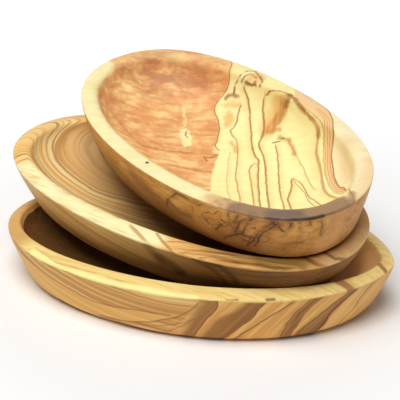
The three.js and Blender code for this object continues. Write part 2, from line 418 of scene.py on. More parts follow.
# %% Layers of the medium bowl
LINED_TILT = (0.14, -0.45, 1.0)
LINED_ABOVE = 8.0
PLAIN_BELOW = 2.0


def lined_layers(tree, place, point):
    """Broad bands and fine lines high up, soft rings lower down, and how plain the wood is there."""
    layer = add(tree, "ShaderNodeVectorMath", place, LINED_TILT, operation="DOT_PRODUCT")
    streak = across_layers(tree, layer, point, spacing=4, drift=90, detail=3.0)
    broad = add(tree, "ShaderNodeMapRange", streak, 0.4, 0.6, interpolation_type="SMOOTHSTEP")
    fine = across_layers(tree, layer, point, spacing=1.6, drift=90, detail=1.0)
    fine = fine_lines(tree, fine, breadth=0.07)
    rings = across_layers(tree, layer, point, spacing=1.1, drift=60, detail=2.0)
    rings = fine_lines(tree, rings, breadth=0.12)
    lined = add(tree, "ShaderNodeMapRange", layer, PLAIN_BELOW, LINED_ABOVE, 0.1, 1.0)
    plain = add(tree, "ShaderNodeMapRange", layer, LINED_ABOVE, PLAIN_BELOW)
    broad = add(tree, "ShaderNodeMath", broad, lined, operation="MULTIPLY")
    fine = add(tree, "ShaderNodeMath", fine, lined, operation="MULTIPLY")
    rings = add(tree, "ShaderNodeMath", rings, plain, operation="MULTIPLY")
    return broad, fine, rings, plain


# %% Painted shade of the medium bowl
# From level to leaning outwards, by how far the surface faces up
OUTWARD = (0.0, -0.04)
MEDIUM_RIM = 27.6
HOLLOW_BELOW = (MEDIUM_RIM + 1, MEDIUM_RIM - 4)
# Where each field of painted shade starts and is full, along the bowl or across it
SHADE_LEAD_IN = (-75.0, -15.0)
SHADED_HOLLOW = (-40.0, 25.0)
SHADED_WALL = (-25.0, 45.0)
NEAR_SIDE = (15.0, -25.0)
FAR_SIDE_SHARE = 0.25


def medium_painted_shade(tree, place, point, facing):
    """Painted shade: warm and dark fields of the hollow, a dark field of the wall, and lighter streaks in the
    dark.
    """
    along, aside, z = add(tree, "ShaderNodeSeparateXYZ", point).node.outputs
    outside = add(tree, "ShaderNodeMapRange", facing, *OUTWARD)
    inside = add(tree, "ShaderNodeMapRange", facing, *reversed(OUTWARD))
    below_rim = add(tree, "ShaderNodeMapRange", z, *HOLLOW_BELOW)
    hollow = add(tree, "ShaderNodeMath", inside, below_rim, operation="MULTIPLY")
    warm = add(tree, "ShaderNodeMapRange", along, *SHADE_LEAD_IN)
    warm = add(tree, "ShaderNodeMath", warm, hollow, operation="MULTIPLY")
    dark = add(tree, "ShaderNodeMapRange", along, *SHADED_HOLLOW)
    dark = add(tree, "ShaderNodeMath", dark, hollow, operation="MULTIPLY")
    # Painted shade on the wall, full on its near side and a quarter as strong on the far side
    wall = add(tree, "ShaderNodeMapRange", along, *SHADED_WALL)
    wall = add(tree, "ShaderNodeMath", wall, outside, operation="MULTIPLY")
    near_side = add(tree, "ShaderNodeMapRange", aside, *NEAR_SIDE, FAR_SIDE_SHARE, 1.0)
    wall = add(tree, "ShaderNodeMath", wall, near_side, operation="MULTIPLY")
    either = add(tree, "ShaderNodeMath", dark, wall, operation="MAXIMUM")
    streaks = add(tree, "ShaderNodeMapRange", fibres(tree, place, length=60, breadth=2.2), 0.46, 0.66)
    streaks = add(tree, "ShaderNodeMath", streaks, either, operation="MULTIPLY")
    return warm, dark, wall, streaks


# %% Rim of the medium bowl
RIM_GRAIN = math.radians(-16)
BROWN_RIM = (18.0, 42.0)
BEFORE_TIP = (96.0, 76.0)
TIP_SHARE = 0.25


def medium_rim(tree, colour, place, along, rim):
    """Pale sapwood with golden streaks on the left, brown streaks on the right, and single strokes."""
    colour = marked(tree, colour, place, PALE_RIM, rim)
    golden = add(tree, "ShaderNodeMapRange", fibres(tree, place, length=22, breadth=3), 0.5, 0.68)
    golden = add(tree, "ShaderNodeMath", golden, rim, operation="MULTIPLY")
    right = add(tree, "ShaderNodeMapRange", along, *BROWN_RIM)
    right = add(tree, "ShaderNodeMath", right, rim, operation="MULTIPLY")
    leaning = add(tree, "ShaderNodeMapping", place, None, (0, 0, RIM_GRAIN))
    brown = add(tree, "ShaderNodeMapRange", fibres(tree, leaning, length=50, breadth=2.4), 0.46, 0.6)
    brown = add(tree, "ShaderNodeMath", brown, right, operation="MULTIPLY")
    before_tip = add(tree, "ShaderNodeMapRange", along, *BEFORE_TIP, TIP_SHARE, 1.0)
    brown = add(tree, "ShaderNodeMath", brown, before_tip, operation="MULTIPLY")
    colour = painted(
        tree, colour, (golden, 0.7, "E8BC72"), (right, 0.6, "E0A654"), (brown, 0.75, "7E4A1A")
    )
    return marked(tree, colour, place, MEDIUM_EDGE, rim)


# %% Lined olive wood


def lined_olive_wood(matrix):
    """The medium bowl's wood, from its layers up to the strokes on its rim and wall."""
    material, tree, point, facing = start_wood("olive wood, lined", matrix)
    place = warped(tree, point, size=18, depth=0.9)
    along, _, z = add(tree, "ShaderNodeSeparateXYZ", point).node.outputs
    fibre = fibres(tree, place)
    broad, fine, rings, plain = lined_layers(tree, place, point)
    warm, dark, near_wall_shade, streaks = medium_painted_shade(tree, place, point, facing)
    outside = add(tree, "ShaderNodeMapRange", facing, *OUTWARD)
    rim = rim_mask(tree, z, facing, MEDIUM_RIM)
    # The warm and dark fields of the hollow and the dark near wall are painted shade
    colour = painted(
        tree, linear("FFCC76"), (broad, 1.0, "FFE4A0"), (plain, 0.7, "DEB27C"), (fibre, 0.25, "C08848"),
        (rings, 0.35, "A07040"), (warm, 0.5, "C89250"), (dark, 0.95, "381C08"), (outside, 0.7, "EAB468"),
        (near_wall_shade, 0.94, "46260A"), (streaks, 0.4, "8E5A28"), (rim, 0.4, "F8CC80"), (fine, 0.75, "9C5C24"),
    )
    colour = medium_rim(tree, colour, place, along, rim)
    colour = marked(tree, colour, place, MEDIUM_WALL, outside)
    finish_wood(tree, colour, fibre)
    return material


# %% [markdown]
# ### The large bowl: striped
# On the left its layers run level along the wall, with a golden band low down. Towards the right tip they
# climb at about 45 degrees, so that the wall there has bold slanting stripes. A wave texture would make the
# stripes all alike, so each stripe is drawn by its two edges: soft on the left, sharp on the right. The
# hollow is painted dark brown with lighter streaks, as painted shade of the bowls above it, and painted light
# makes it pale again at the right tip. The rim is golden.

# %% Stripes and lines of the large bowl
# Left and right edge of each stripe: a height on the wall, and how far along the bowl the edge is there
STRIPES = (
    (((0, 7), (15, 15), (23, 19), (33, 23)), ((0, 13), (16, 23), (24, 28), (33, 28))),
    (((0, 17), (9, 23), (17, 29), (24, 38), (33, 45)), ((0, 29), (11, 38), (17, 44), (26, 50), (33, 56))),
    (((0, 58), (8, 61), (16, 64), (22, 68), (33, 78)), ((0, 63), (7, 66), (15, 70), (21, 73), (33, 84))),
    (((0, 65), (6, 69), (16, 78), (20, 82), (33, 96)), ((0, 72), (9, 80), (15, 83), (20, 87), (33, 99))),
)
# Breadth, strength, shaded side and course of each line that climbs
STRIPE_LINES = (
    (0.6, 0.7, -1, STRIPES[0][1]),
    (0.6, 0.8, -1, STRIPES[1][1]),
    (0.8, 0.8, 1, ((0, 34), (7, 40), (13, 47), (24, 60), (33, 70))),
    (0.6, 0.7, 1, STRIPES[2][0]),
    (0.7, 0.9, 1, STRIPES[3][0]),
    (1.0, 0.9, -1, STRIPES[3][1]),
    (0.5, 0.6, 1, ((0, 83), (8, 88), (14, 93), (20, 96), (33, 104))),
)
# The same for the level lines: how far along the bowl, and the height of the line there
LEVEL_LINES = (
    (1.0, 0.5, 1, ((-90, 25), (-63, 19), (-44, 14.5), (-26, 15), (-9, 16), (4, 16.5))),
    (0.9, 0.6, -1, ((-40, 4), (-33, 5), (-15, 7), (-4, 11), (13, 20), (20, 28))),
    (0.8, 0.5, -1, ((-28, 4.5), (-4, 7), (18, 16))),
    (0.8, 0.5, -1, ((-3, 2), (1, 4), (15, 14))),
)
print(len(STRIPES), "stripes and", len(STRIPE_LINES + LEVEL_LINES), "lines on the large bowl")

# %% Stripes of the large bowl
SOFT_EDGE = 2.5
SHARP_EDGE = 0.4


def stripe_mask(tree, x, z):
    """1 on the stripes, which start softly on their left edge and end sharply on their right one."""
    stripe = 0.0
    for left_edge, right_edge in STRIPES:
        past_left = beside_line(tree, x, z, left_edge)
        past_left = add(tree, "ShaderNodeMapRange", past_left, -SOFT_EDGE, SOFT_EDGE)
        past_right = beside_line(tree, x, z, right_edge)
        past_right = add(tree, "ShaderNodeMapRange", past_right, SHARP_EDGE, -SHARP_EDGE)
        band = add(tree, "ShaderNodeMath", past_left, past_right, operation="MULTIPLY")
        stripe = add(tree, "ShaderNodeMath", stripe, band, operation="MAXIMUM")
    return stripe


# %% Golden band and hollow of the large bowl
GOLD_END = (12.0, 0.0)
GOLD_EDGE = 0.3
# Where the hollow's painted shade on the left and its painted light at the right end start and are full,
# along the bowl
SHADED_LEFT = (70.0, 25.0)
PAINTED_LIGHT_RIGHT = (60.0, 85.0)
UPWARD = (0.0, 0.05)


def golden_band(tree, x, z):
    """1 between the first two level lines, left of the stripes."""
    under = beside_line(tree, z, x, LEVEL_LINES[0][3])
    under = add(tree, "ShaderNodeMapRange", under, GOLD_EDGE, -GOLD_EDGE)
    over = beside_line(tree, z, x, LEVEL_LINES[1][3])
    over = add(tree, "ShaderNodeMapRange", over, -GOLD_EDGE, GOLD_EDGE)
    band = add(tree, "ShaderNodeMath", under, over, operation="MULTIPLY")
    before_stripes = add(tree, "ShaderNodeMapRange", x, *GOLD_END)
    return add(tree, "ShaderNodeMath", band, before_stripes, operation="MULTIPLY")


def large_hollow(tree, colour, place, x, facing):
    """Painted shade, dark with lighter streaks, in the hollow, and painted light that makes its right end
    pale.
    """
    inside = add(tree, "ShaderNodeMapRange", facing, *UPWARD)
    dark = add(tree, "ShaderNodeMapRange", x, *SHADED_LEFT)
    dark = add(tree, "ShaderNodeMath", dark, inside, operation="MULTIPLY")
    pale = add(tree, "ShaderNodeMapRange", x, *PAINTED_LIGHT_RIGHT)
    pale = add(tree, "ShaderNodeMath", pale, inside, operation="MULTIPLY")
    streaks = add(tree, "ShaderNodeMapRange", fibres(tree, place, length=60, breadth=2.6), 0.46, 0.66)
    streaks = add(tree, "ShaderNodeMath", streaks, dark, operation="MULTIPLY")
    return painted(tree, colour, (pale, 0.85, "FFCC84"), (dark, 0.9, "48280E"), (streaks, 0.5, "8A5828"))


# %% Rim of the large bowl
LARGE_RIM = 29.4
SLANT = math.radians(14)
# Reach, edge, cover, colour and course of each mark
LARGE_EDGE = (
    (10, 12, 0.7, "C8924E", ((-104, 20, 31), (-109, 0, 31), (-96, -28, 31))),
    (2.2, 2.5, 0.9, "FFF6A4", ((-80, -41, 31), (-58, -53, 31), (-24, -61, 31), (8, -63, 31), (17, -62, 31))),
    (0.4, 1.0, 0.7, "B8883E", ((-80, -37, 31), (-63, -48, 31), (-26, -57, 31), (7, -58, 31), (30, -56, 31))),
    (0.9, 1.0, 0.8, "6E4420", ((33, -60, 31), (38, -59, 31))),
    (0.9, 1.0, 0.8, "6E4420", ((53, -54, 31), (56, -53, 31))),
    (2.4, 2.0, 0.8, "94572E", ((83, -28, 32), (88, -30, 32), (93, -32, 29))),
    (1.6, 1.6, 0.8, "94572E", ((102, -5, 32), (107, -10, 31))),
)
print(len(LARGE_EDGE), "marks on the large bowl")


def large_rim(tree, colour, place, z, facing):
    """Golden wood with slanting streaks and single marks."""
    slanted = add(tree, "ShaderNodeMapping", place, None, (0, 0, SLANT))
    slants = add(tree, "ShaderNodeMapRange", fibres(tree, slanted, length=40, breadth=2.2), 0.45, 0.62)
    rim = rim_mask(tree, z, facing, LARGE_RIM)
    on_rim = add(tree, "ShaderNodeMath", slants, rim, operation="MULTIPLY")
    colour = painted(tree, colour, (rim, 0.9, "FFE492"), (on_rim, 0.45, "E4A654"))
    return marked(tree, colour, place, LARGE_EDGE, rim)


# %% Striped olive wood
STRIPE_RISE = 1.25
LEVEL_TILT = (0.05, -0.5, 1.0)
CLIMB_FROM = (-6.0, 6.0)


def striped_olive_wood(matrix):
    """The large bowl's wood: level on the left, climbing on the right."""
    material, tree, point, facing = start_wood("olive wood, striped", matrix)
    place = warped(tree, warped(tree, point, size=24, depth=1.6), size=6, depth=0.5)
    x, _, z = add(tree, "ShaderNodeSeparateXYZ", place).node.outputs
    fibre = fibres(tree, place)
    level = add(tree, "ShaderNodeVectorMath", place, LEVEL_TILT, operation="DOT_PRODUCT")
    level_streak = across_layers(tree, level, point, spacing=3.5, drift=60, detail=4.0)
    foot = add(tree, "ShaderNodeMath", z, -1 / STRIPE_RISE, x, operation="MULTIPLY_ADD")
    rising_streak = across_layers(tree, foot, point, spacing=4, drift=60, detail=4.0)
    right = add(tree, "ShaderNodeMapRange", foot, *CLIMB_FROM)
    streak = add(tree, "ShaderNodeMix", right, level_streak, rising_streak)
    streak = add(tree, "ShaderNodeMapRange", streak, 0.35, 0.65, interpolation_type="SMOOTHSTEP")
    stripe = stripe_mask(tree, x, z)
    pale_streak = add(tree, "ShaderNodeMath", stripe, streak, operation="MULTIPLY")
    colour = painted(
        tree, linear("CC8C42"), (streak, 1.0, "FFD484"), (right, 0.5, "FFC066"), (fibre, 0.3, "B07434"),
        (golden_band(tree, x, z), 0.7, "F4BE66"), (stripe, 0.88, "84501C"), (pale_streak, 0.5, "C68A44"),
    )
    colour = inked(tree, colour, drawn_lines(tree, x, z, STRIPE_LINES), "B07840", "6A3E18")
    colour = inked(tree, colour, drawn_lines(tree, z, x, LEVEL_LINES), "B07840", "7A4C22")
    colour = large_hollow(tree, colour, place, x, facing)
    colour = large_rim(tree, colour, place, z, facing)
    finish_wood(tree, colour, fibre)
    return material


# %% [markdown]
# ### The small bowl: figured
# It was cut where a branch left the trunk. The left of its hollow is mottled and orange, the right is pale
# and crossed by dark wavy lines. A brown knot sits at the far rim, the near rim is scorched brown on the
# right, and dark veins branch over the wall below it. Noise alone never gives such a figure, so its lines
# and marks are drawn one by one, and noise only bends them and fills the wood between them.

# %% Lines of the figure
# Courses in the turned figure: how far along it, and how far across it the line lies there
FIGURE_TURN = math.radians(-43)
HEART_EDGE = (
    (-66, 0), (-26, -3), (-1, -3), (9, -2), (12.5, -1.5), (17.5, -4.5), (22, -4), (35, -4), (40.5, -5.5),
    (45.5, -7.5), (51, -5.5), (55, -1.5), (60.5, 0), (66.5, 0.5), (70, -1.5),
)
BAND_LEFT = (
    (-50, 71), (-41, 65.5), (-37, 63), (-30, 60.5), (-22, 58.5), (-13, 57), (-5, 56), (5, 56), (10, 54.5),
    (16, 50.5), (25, 43.5), (33, 37.5),
)
BAND_RIGHT = (
    (-62, 73), (-53, 70.5), (-37.5, 67.5), (-30.5, 64.5), (-23, 62.5), (-15.5, 61.5), (-8.5, 60.5), (0, 61),
    (5, 60.5), (13.5, 59.5), (22, 56.5), (29, 51), (38, 42.5),
)
BAND_MIDDLE = (
    (-45, 69), (-37, 65.5), (-22, 60.5), (-13, 59), (-5, 58.5), (5, 58), (13, 56.5), (22, 51),
)
# Breadth, strength, shaded side and course of each line
FIGURE_LINES = (
    (0.5, 0.85, 1, HEART_EDGE[4:]),
    (0.6, 0.45, 1, ((-60, 11), (-32, 7.5), (-26, 6), (-15.5, 5), (-1.5, 4.5), (12, 4))),
    (0.8, 0.6, 1, (
        (-62, 17), (-35, 13.5), (-25.5, 12), (-12.5, 9.5), (9.5, 9), (16.5, 8.5), (22, 7), (28, 3.5),
    )),
    (0.9, 0.75, -1, (
        (-62, 27), (-39, 24.5), (-21, 22.5), (-1, 21), (4.5, 20.5), (8, 18.5), (16, 16.5), (35, 14), (42, 13),
        (52, 9),
    )),
    (0.8, 0.65, 1, ((-62, 24), (-37.5, 21), (-20, 18.5), (-10, 17), (-2.5, 16.5), (1, 18), (2.5, 20.5))),
    (0.9, 0.75, 1, (
        (-60, 31), (-40, 29), (-22, 27), (-3.5, 25), (3, 24), (10, 22), (15.5, 20), (24.5, 22), (29, 22),
        (35, 21), (40, 20.5), (42.5, 21.5),
    )),
    (0.7, 0.9, 1, ((35.5, 35), (38, 31), (40, 26.5), (41.5, 23.5), (42.5, 21.5))),
    (0.8, 0.7, 1, ((-60, 39.5), (-43, 37), (-27.5, 34.5), (-8, 32.5), (9.5, 30.5), (15, 29.5))),
    (0.9, 0.75, 1, ((-60, 42), (-41, 40), (-33.5, 38.5), (-28.5, 39.5), (-22, 40), (-16, 39.5), (-13.5, 40))),
    (0.6, 0.75, 1, ((-52, 58), (-40, 53), (-32, 49), (-24.5, 47), (-18, 44), (-15, 41), (-13.5, 40))),
    (0.6, 0.6, 1, ((-50, 55), (-42, 51), (-30, 47.5), (-23, 44.5), (-18, 41.5), (-15, 40.5))),
    (0.8, 0.5, -1, ((-29, 53.5), (-15, 48), (-10, 47), (-2.5, 44), (4.5, 41), (10.5, 38.5), (17, 35.5))),
    (1.4, 0.6, -1, (
        (-50, 67), (-39, 61), (-34.5, 59), (-25.5, 57), (-17.5, 56), (-5, 53.5), (1.5, 52.5), (6.5, 53),
        (10.5, 53),
    )),
    (0.6, 0.5, 1, BAND_LEFT),
    *((0.35, 0.55, -1, tuple((a, c + shift) for a, c in BAND_MIDDLE)) for shift in (-1.5, -0.3, 0.9)),
    (0.45, 0.9, -1, BAND_RIGHT),
)
print(len(FIGURE_LINES), "lines in the small bowl's hollow")

# %% Marks of the heartwood
# Reach, edge, cover, colour and course of each mark
CLOUDS = (
    (9, 12, 0.6, "BA7A50", ((-84, 8, 27), (-73, 10, 19))),
    (8, 12, 0.65, "B47A58", ((-81, 20, 30), (-62, 30, 24))),
    (7, 10, 0.5, "BA7A50", ((-68, 22, 21), (-54, 34, 23))),
    (5, 8, 0.6, "BA7A50", ((-80, -11, 24), (-74, -16, 22))),
    (5, 7, 0.5, "BA7A50", ((-24, 17, 9),)),
    (7, 9, 0.4, "C4845A", ((-48, 4, 10), (-36, -10, 9))),
)
HEART_MARKS = (
    (1.2, 2.4, 0.6, "B0683C", ((-82, -22, 28), (-74, -24, 24), (-60, -24, 17), (-46, -26, 13))),
    (1.0, 2.0, 0.6, "B0683C", ((-40, -26, 13), (-26, -13, 9), (-18, -5, 8))),
    (1.6, 2.4, 0.6, "B0683C", ((-16, -24, 10), (-4, -14, 8), (3, -9, 8))),
    (3.0, 1.5, 0.85, "FFF0AE", ((-35, 4, 9), (-31, 2, 9), (-27, -1, 8))),
    (1.0, 1.5, 0.7, "FFE6A4", ((-51, 17, 13), (-40, 8, 10))),
    (2.0, 3.0, 0.7, "FFE6A4", ((-81, -3, 23), (-78, -1, 21))),
    (3.0, 2.5, 0.7, "FFEFB0", ((-13, 11, 8), (-10, 8, 8))),
)
HEART_STROKES = (
    (0.5, 0.8, 0.8, "7A4A28", ((-36, 6, 9), (-33, 3, 9), (-31, 3, 9))),
    (0.5, 0.8, 0.8, "9A5C30", ((-8, 5, 8), (-8, 0, 8), (-11, -2, 8), (-7, -4, 8))),
)
print(len(CLOUDS + HEART_MARKS + HEART_STROKES), "marks in the heartwood")

# %% Heartwood of the hollow
HEART_GRAIN = math.radians(-45)


def heartwood(tree, place, grain, patchy, streak):
    """Mottled orange wood with clouds, pale spots and a few strokes."""
    broken = add(tree, "ShaderNodeMapRange", fibres(tree, grain, length=16, breadth=5), 0.36, 0.58)
    wood = painted(tree, linear("E9A468"), (patchy, 1.0, "FFD490"), (streak, 0.6, "CE8A50"))
    wood = marked(tree, wood, warped(tree, place, size=12, depth=6), CLOUDS, broken)
    wood = marked(tree, wood, warped(tree, place, size=4, depth=2.2), HEART_MARKS)
    return marked(tree, wood, place, HEART_STROKES)


# %% Marks of the sapwood
# Reach, edge, cover, colour and course of each mark
SAP_FILLS = (
    (3.0, 4.0, 0.75, "E09A50", ((-26, 48, 33), (-25, 50, 34), (-21, 49, 34))),
    (1.5, 2.5, 0.7, "DCA25A", ((-11, 18, 9), (-7, 17, 9), (-2, 14, 8))),
    (5.5, 7.0, 0.75, "EAAE5E", ((-2, 46, 28), (-1, 43, 22), (0, 40, 18), (0, 37, 15))),
    (3.2, 3.0, 0.85, "CA8A40", (
        (2, 48, 32), (2, 46, 28), (2, 44, 24), (2, 42, 20), (1, 39, 17), (1, 37, 15),
    )),
    (1.6, 2.0, 0.8, "A0662A", ((3, 49, 33), (4, 47.5, 31), (3.5, 46, 28))),
    (1.5, 1.8, 0.85, "B8782E", (
        (8, 48.5, 33), (13, 47, 32), (19, 46, 31.5), (25, 45, 30), (30, 44, 28), (34, 42, 25),
    )),
    (1.2, 2.0, 0.75, "C88C44", ((1, 31, 12), (0, 35, 14), (3, 37, 16), (7, 38, 17))),
    (1.2, 2.0, 0.75, "C88C44", ((10, 36, 15), (16, 36, 16), (22, 34, 15), (27, 31, 14))),
    (5.0, 9.0, 0.4, "E6B476", ((56, 40, 32), (64, 32, 26), (72, 26, 27))),
)
SAP_SMUDGES = (
    (1.2, 1.6, 0.9, "94561E", ((-28, 45, 30), (-25, 45, 30), (-22, 46, 31))),
    (1.6, 2.4, 0.85, "B0743C", ((-36, 37, 19), (-34, 39, 21), (-31, 40, 21))),
    (2.0, 4.0, 0.7, "E6AE6A", ((-33, 34, 16), (-30, 36, 17), (-27, 38, 18))),
    (2.6, 4.0, 0.75, "E8AE5C", ((-27, 30, 13), (-24, 29, 13), (-23, 26, 11))),
)
SAP_STROKES = (
    (0.6, 0.8, 0.9, "8E5420", (
        (-33, 40, 22), (-35, 43, 26), (-33, 45, 32), (-32, 50, 34), (-29, 53, 33.3), (-22, 50, 34),
        (-18, 48, 33), (-18, 46, 31),
    )),
    (0.6, 0.8, 0.85, "B4722E", ((-31, 44, 29), (-30, 46, 33), (-28, 49, 34), (-23, 48, 33.5))),
    (0.5, 0.8, 0.8, "6A421E", ((9, 31, 13), (12, 34, 14))),
    (0.4, 0.8, 0.8, "6A421E", ((9, 34, 14.5), (13, 36, 15.5))),
    (1.0, 1.2, 0.9, "96581C", ((2, 49.5, 33.5), (8, 49, 33), (13, 47.5, 32), (17, 46.5, 31.7))),
    (0.5, 0.7, 0.85, "AA6A2A", (
        (-25, 38, 18), (-23, 34, 15), (-20, 30, 13), (-18.5, 27, 12), (-18, 24, 11), (-15, 22, 10),
        (-10, 21, 9),
    )),
)
print(len(SAP_FILLS + SAP_SMUDGES + SAP_STROKES), "marks in the sapwood")

# %% Sapwood of the hollow
STRANDS = (1 / 2.4, 1 / 18, 1 / 18)
BAND_START = (0.0, 1.5)
BAND_END = (-0.5, 0.5)


def sapwood(tree, place, turned, patchy, streak):
    """Pale wood, browner in the band at its right, with fills, smudges and strokes."""
    across, along, _ = add(tree, "ShaderNodeSeparateXYZ", turned).node.outputs
    past_left = beside_line(tree, across, along, BAND_LEFT)
    past_left = add(tree, "ShaderNodeMapRange", past_left, *BAND_START)
    past_right = beside_line(tree, across, along, BAND_RIGHT)
    past_right = add(tree, "ShaderNodeMapRange", past_right, *BAND_END)
    wood = painted(
        tree, linear("FFF6B2"), (patchy, 0.5, "FFEEA0"), (past_left, 1.0, "F8CE98"),
        (past_right, 1.0, "FFF0BE"), (streak, 0.15, "E8BF80"),
    )
    strands = add(tree, "ShaderNodeVectorMath", turned, STRANDS, operation="MULTIPLY")
    strands = add(tree, "ShaderNodeTexNoise", strands, 1.0, 3.0, 0.6)
    strands = add(tree, "ShaderNodeMapRange", strands, 0.36, 0.56, 0.65, 1.0)
    wood = marked(tree, wood, warped(tree, place, size=5, depth=1.3), SAP_FILLS, strands)
    wood = marked(tree, wood, warped(tree, place, size=4, depth=2.2), SAP_SMUDGES)
    return marked(tree, wood, place, SAP_STROKES)


# %% Wood of the hollow
HEART_END = (-0.4, 0.4)


def hollow_wood(tree, place, turned, mottle):
    """Heartwood on the left, sapwood on the right, and the drawn lines over both."""
    across, along, _ = add(tree, "ShaderNodeSeparateXYZ", turned).node.outputs
    patchy = add(tree, "ShaderNodeMapRange", mottle, 0.38, 0.62, interpolation_type="SMOOTHSTEP")
    swirled = warped(tree, place, size=14, depth=3)
    grain = add(tree, "ShaderNodeMapping", swirled, None, (0, 0, HEART_GRAIN))
    streak = add(tree, "ShaderNodeMapRange", fibres(tree, grain, length=30, breadth=3.0), 0.42, 0.64)
    heart = heartwood(tree, place, grain, patchy, streak)
    sap = sapwood(tree, place, turned, patchy, streak)
    past_heart = beside_line(tree, across, along, HEART_EDGE)
    past_heart = add(tree, "ShaderNodeMapRange", past_heart, *HEART_END)
    wood = add(tree, "ShaderNodeMix", past_heart, heart, sap, data_type="RGBA")
    return inked(tree, wood, drawn_lines(tree, across, along, FIGURE_LINES), "E2A452", "935C22")


# %% Veins of the small bowl's wall
# Reach, edge, cover, colour and course of each mark
FILLS = (
    (6.0, 8.0, 0.6, "7E4A22", ((-4, -55, 22), (10, -53, 14), (18, -51, 10))),
    (5.0, 6.0, 0.5, "8A5426", ((50, -45, 10), (58, -44, 15), (64, -41, 12))),
    (2.2, 3.0, 0.7, "7A4820", ((20, -53, 19), (23, -52, 17), (27, -51, 15), (33, -51, 16))),
    (7.0, 8.0, 0.55, "E2A464", ((97, -4, 31), (94, -7, 20), (91, -9, 10))),
)
VEINS = (
    (0.5, 0.8, 0.8, "46240A", (
        (17, -52, 15), (19, -54, 20), (25, -55, 26), (28, -55, 30), (35, -54, 30), (42, -52, 28),
        (46, -52, 31),
    )),
    (0.4, 0.6, 0.6, "46240A", ((59, -47, 32), (58, -47, 29), (58, -46, 25))),
    (0.6, 0.8, 0.7, "46240A", ((64, -45, 32), (62, -45, 28), (60, -45, 25))),
    (0.48, 0.8, 0.85, "46240A", ((48, -46, 14), (53, -47, 20), (58, -46, 24), (63, -44, 26), (70, -42, 32))),
    (0.6, 0.8, 0.7, "46240A", ((58, -45, 22), (61, -44, 21), (64, -44, 25), (67, -43, 27), (70, -41, 31))),
    (0.6, 0.8, 0.7, "46240A", ((63, -44, 25), (60, -43, 19), (59, -43, 15), (63, -42, 18), (68, -42, 27))),
    (0.48, 0.8, 0.85, "3C1E08", ((51, -43, 8), (56, -43, 13), (62, -42, 17), (68, -38, 16))),
    (0.54, 0.8, 0.85, "3C1E08", ((79, -35, 31), (76, -37, 27), (73, -38, 23), (70, -38, 18), (63, -38, 8))),
    (0.7, 0.8, 0.8, "3C1E08", ((80, -34, 29), (77, -36, 25), (74, -37, 22), (71, -37, 17), (67, -37, 9))),
    (0.9, 1.0, 0.8, "33251C", ((78, -37, 33), (78, -36, 30), (79, -35, 28))),
    (0.5, 0.7, 0.8, "46240A", ((80, -33, 27), (81, -31, 24), (83, -30, 24), (84, -29, 27), (85, -29, 30))),
    (0.5, 0.7, 0.7, "6E4420", ((79, -28, 10), (81, -28, 13), (83, -26, 15), (86, -22, 15))),
    (0.5, 0.8, 0.6, "6E4420", ((93, -16, 30), (92, -15, 27), (91, -14, 18))),
    (0.4, 0.7, 0.7, "3C1E08", ((84, -31, 32), (85, -29, 27))),
    (0.4, 0.7, 0.7, "3C1E08", ((88, -26, 32), (88, -25, 27), (87, -25, 24))),
    (0.4, 0.7, 0.6, "3C1E08", ((90, -22, 32), (90, -21, 28))),
)
# The middle of the finest net of veins
VEINED = ((44, -50, 26), (58, -45, 19), (70, -39, 18))
print(len(FILLS + VEINS), "marks on the small bowl's wall")

# %% Veined wall of the small bowl
# Painted shade on the wall: the heights where it starts and where it is full
BASE_SHADE = (26.0, 5.0)
BEFORE_END = (92.0, 62.0)
END_SHARE = 0.35
NET_SIZE = 7


def veined_wall(tree, point, z, mottle):
    """Brown wood with dark veins, and painted shade that makes it browner towards the base."""
    swirled = warped(tree, warped(tree, point, size=7, depth=1.2), size=2.0, depth=0.3)
    patchy = add(tree, "ShaderNodeMapRange", mottle, 0.35, 0.65)
    # Painted shade: darker brown towards the base, weaker near the right end
    low = add(tree, "ShaderNodeMapRange", z, *BASE_SHADE)
    x = add(tree, "ShaderNodeSeparateXYZ", point)
    before_end = add(tree, "ShaderNodeMapRange", x, *BEFORE_END, END_SHARE, 1.0)
    low = add(tree, "ShaderNodeMath", low, before_end, operation="MULTIPLY")
    grain = add(tree, "ShaderNodeMapRange", fibres(tree, swirled, length=34, breadth=2.6), 0.46, 0.64)
    wall = painted(
        tree, linear("CA8438"), (patchy, 1.0, "EAAC54"), (low, 0.88, "5A3212"), (grain, 0.45, "8A5422")
    )
    wall = marked(tree, wall, swirled, FILLS)
    net = fine_lines(tree, add(tree, "ShaderNodeTexNoise", swirled, 1 / NET_SIZE, 1.0), breadth=0.025)
    veined = near(tree, away_from(tree, swirled, VEINED), reach=9, edge=6)
    net = add(tree, "ShaderNodeMath", net, veined, operation="MULTIPLY")
    wall = painted(tree, wall, (net, 0.85, "3E1E08"))
    return marked(tree, wall, swirled, VEINS, halo="7A4418")


# %% Rim of the small bowl
SMALL_RIM = 31.2
TOPSIDE = (0.02, 0.15)
